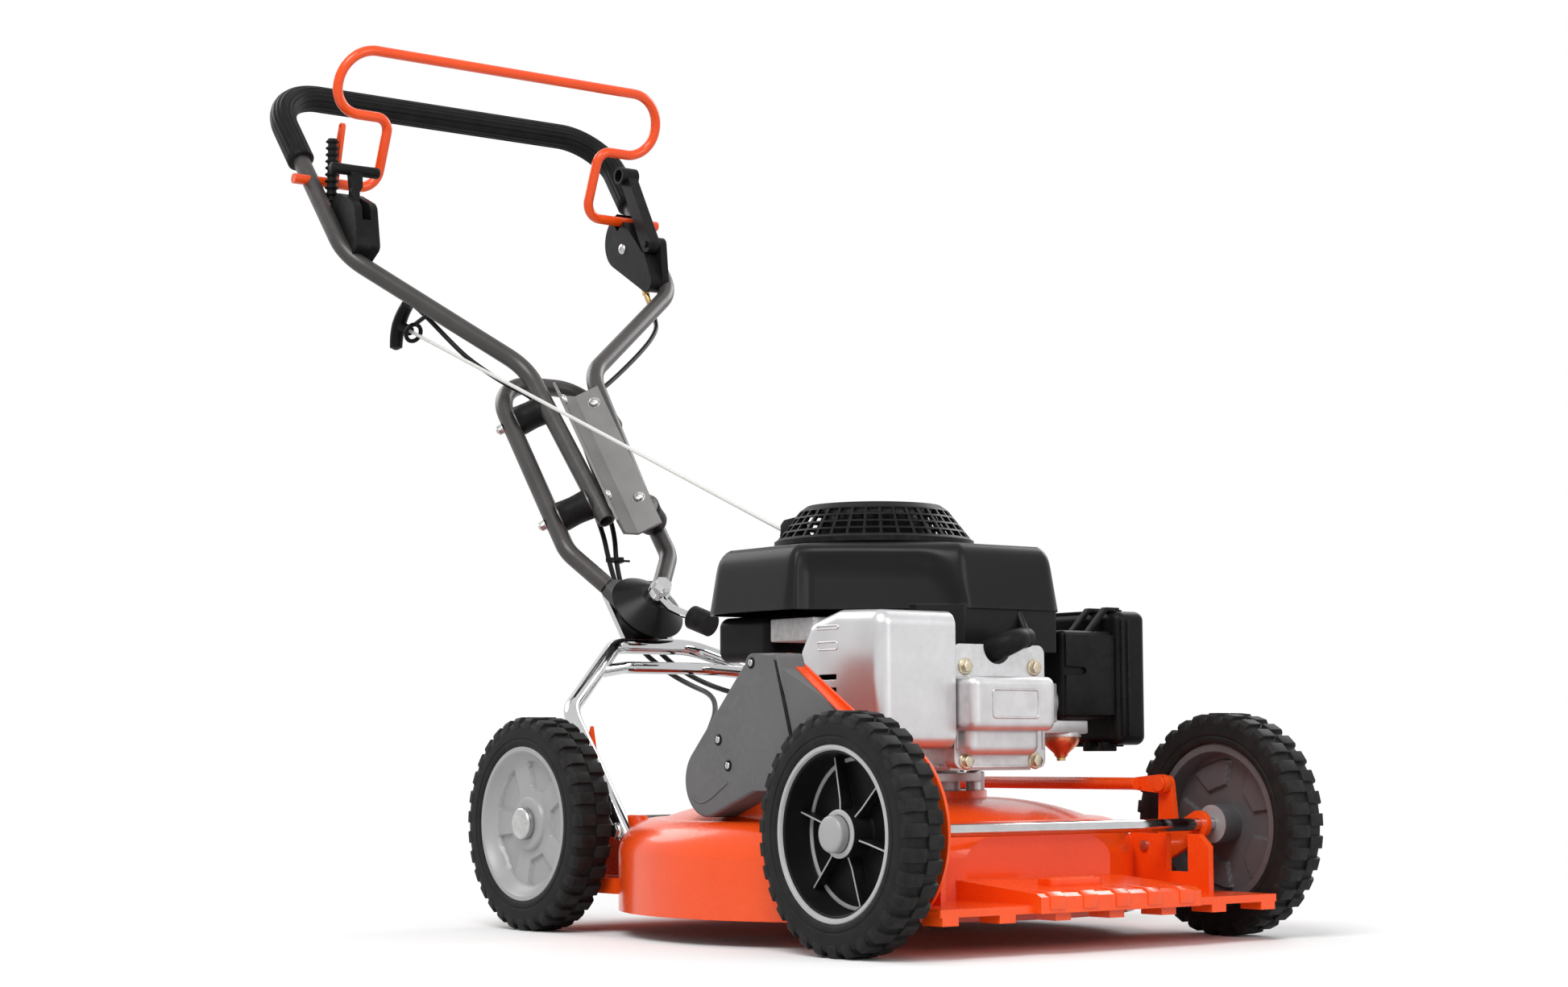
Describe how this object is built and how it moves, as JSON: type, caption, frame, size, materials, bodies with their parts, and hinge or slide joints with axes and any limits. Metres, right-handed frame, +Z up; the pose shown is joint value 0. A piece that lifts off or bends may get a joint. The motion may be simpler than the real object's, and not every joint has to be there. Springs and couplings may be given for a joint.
{
  "type": "push lawn mower",
  "caption": "Four-wheel push lawn mower with a domed steel deck, overhead-shaft petrol engine, side drive casing, height-adjusting axles and a sprung swivelling handle with controls.",
  "frame": {"origin": "on the floor under the crankshaft, midway between the two axles", "axes": "-Y is the front, +Y the operator's end, +X the operator's left, +Z up"},
  "size_m": [0.508, 1.2087, 0.989],
  "materials": {
    "tyre_rubber": "moulded",
    "rim_plastic": "moulded grey",
    "drive_rim_plastic": "moulded black",
    "orange_paint": "gloss powder coat",
    "chrome": "polished",
    "steel": "zinc plated",
    "blade_steel": "black oxide",
    "grey_plastic": "moulded dark grey",
    "grey_paint": "satin powder coat",
    "black_plastic": "moulded",
    "black_rubber": "moulded",
    "cast_alloy": "die cast",
    "guard_steel": "silver heat paint",
    "filter_paper": "pleated",
    "rope_nylon": "braided"
  },
  "bodies": {
    "chassis": {"deck_shell": "orange_paint", "transmission_housing": "orange_paint", "transmission_cover": "grey_plastic", "drive_gearcase": "cast_alloy", "handle_frame": "chrome", "swivel_discs": "black_plastic", "arm_pivots": "steel", "chassis_fasteners": "steel", "engine_block": "cast_alloy", "head_cover": "cast_alloy", "muffler": "guard_steel", "muffler_guard": "guard_steel", "fan_cover": "black_plastic", "recoil_grille": "black_plastic", "fuel_tank": "black_plastic", "oil_dipstick": "black_plastic", "carburettor": "cast_alloy", "air_filter_case": "black_plastic", "air_filter_cover": "black_plastic", "air_filter_element": "filter_paper", "plug_boot": "black_rubber", "starter_rope": "rope_nylon"},
    "filler_cap": {"fuel_cap": "black_plastic"},
    "crank": {"crankshaft": "steel", "flywheel": "cast_alloy", "blade": "blade_steel", "blade_holder": "steel"},
    "front_axle_body": {"front_axle": "chrome", "front_axle_arms": "orange_paint", "front_axle_caps": "steel"},
    "rear_axle_body": {"rear_axle": "steel", "rear_axle_arms": "orange_paint", "rear_axle_caps": "steel", "height_lever": "orange_paint"},
    "link": {"height_link": "orange_paint"},
    "pinion": {"drive_pinion": "steel"},
    "wheel_front_right": {"tyre_front_right": "tyre_rubber", "rim_front_right": "drive_rim_plastic"},
    "wheel_front_left": {"tyre_front_left": "tyre_rubber", "rim_front_left": "rim_plastic"},
    "wheel_rear_right": {"tyre_rear_right": "tyre_rubber", "rim_rear_right": "rim_plastic"},
    "wheel_rear_left": {"tyre_rear_left": "tyre_rubber", "rim_rear_left": "rim_plastic"},
    "handle": {"handle_loop": "grey_paint", "handle_bar": "grey_paint", "grip_sleeve": "black_rubber", "handle_plate": "grey_paint", "vibration_dampers": "black_rubber", "handle_fasteners": "steel", "throttle_housing": "black_plastic", "drive_housing": "black_plastic", "control_cables": "black_rubber"},
    "clamp": {"clamp_lever": "steel", "clamp_lever_cap": "black_plastic"},
    "bail_body": {"bail": "orange_paint", "bail_boot": "black_rubber"},
    "throttle": {"throttle_lever": "black_plastic"},
    "drive_control": {"drive_lever": "black_plastic"},
    "starter": {"starter_grip": "black_plastic"}
  },
  "joints": [
    {"name": "rear_height", "type": "hinge", "parent": "chassis", "child": "rear_axle_body", "pos_m": [0, 0.28725, 0.08487], "axis": [1, 0, 0], "range_deg": [0, 42]},
    {"name": "front_height", "type": "hinge", "parent": "chassis", "child": "front_axle_body", "pos_m": [0, -0.20675, 0.08487], "axis": [1, 0, 0], "range_deg": [0, 42]},
    {"name": "link_pivot", "type": "hinge", "parent": "front_axle_body", "child": "link", "pos_m": [0, -0.20475, 0.14287], "axis": [1, 0, 0], "range_deg": [-42, 0]},
    {"name": "wheel_fr_spin", "type": "hinge", "parent": "front_axle_body", "child": "wheel_front_right", "pos_m": [-0.231, -0.247, 0.105], "axis": [1, 0, 0], "continuous": true},
    {"name": "wheel_fl_spin", "type": "hinge", "parent": "front_axle_body", "child": "wheel_front_left", "pos_m": [0.231, -0.247, 0.105], "axis": [1, 0, 0], "continuous": true},
    {"name": "wheel_rr_spin", "type": "hinge", "parent": "rear_axle_body", "child": "wheel_rear_right", "pos_m": [-0.231, 0.247, 0.105], "axis": [1, 0, 0], "continuous": true},
    {"name": "wheel_rl_spin", "type": "hinge", "parent": "rear_axle_body", "child": "wheel_rear_left", "pos_m": [0.231, 0.247, 0.105], "axis": [1, 0, 0], "continuous": true},
    {"name": "pinion_spin", "type": "hinge", "parent": "front_axle_body", "child": "pinion", "pos_m": [-0.216, -0.20675, 0.08487], "axis": [1, 0, 0], "continuous": true},
    {"name": "blade_spin", "type": "hinge", "parent": "chassis", "child": "crank", "pos_m": [0, 0, 0.1], "axis": [0, 0, 1], "continuous": true},
    {"name": "handle_swivel", "type": "hinge", "parent": "chassis", "child": "handle", "pos_m": [0, 0.374, 0.345], "axis": [0, -0.788, 0.6157], "range_deg": [-15, 15], "deforming": ["control_cables", "starter_rope"]},
    {"name": "clamp_turn", "type": "hinge", "parent": "chassis", "child": "clamp", "pos_m": [0, 0.374, 0.345], "axis": [0, -0.788, 0.6157], "range_deg": [0, 60]},
    {"name": "bail_squeeze", "type": "hinge", "parent": "handle", "child": "bail_body", "pos_m": [0, 0.74133, 0.83465], "axis": [-1, 0, 0], "range_deg": [0, 42], "stiffness_Nm_per_rad": 1.2, "springref_deg": -20.05, "deforming": ["bail_boot"]},
    {"name": "throttle_turn", "type": "hinge", "parent": "handle", "child": "throttle", "pos_m": [0, 0.67824, 0.77988], "axis": [1, 0, 0], "range_deg": [0, 40]},
    {"name": "drive_turn", "type": "hinge", "parent": "handle", "child": "drive_control", "pos_m": [0, 0.68178, 0.79742], "axis": [-1, 0, 0], "range_deg": [0, 14]},
    {"name": "starter_pull", "type": "slide", "parent": "handle", "child": "starter", "axis": [-0.1197, 0.9083, 0.4008], "range_m": [0, 0.4], "stiffness_N_per_m": 8, "springref_m": -0.3},
    {"name": "fuel_cap_turn", "type": "hinge", "parent": "chassis", "child": "filler_cap", "pos_m": [0.07, 0.104, 0.284], "axis": [0.3094, 0.9283, 0.2063], "range_deg": [0, 90]}
  ],
  "couplings": [
    {"joint": "front_height", "follows": "rear_height", "ratio": 1},
    {"joint": "link_pivot", "follows": "rear_height", "ratio": -1},
    {"joint": "pinion_spin", "follows": "wheel_fr_spin", "ratio": 4}
  ]
}
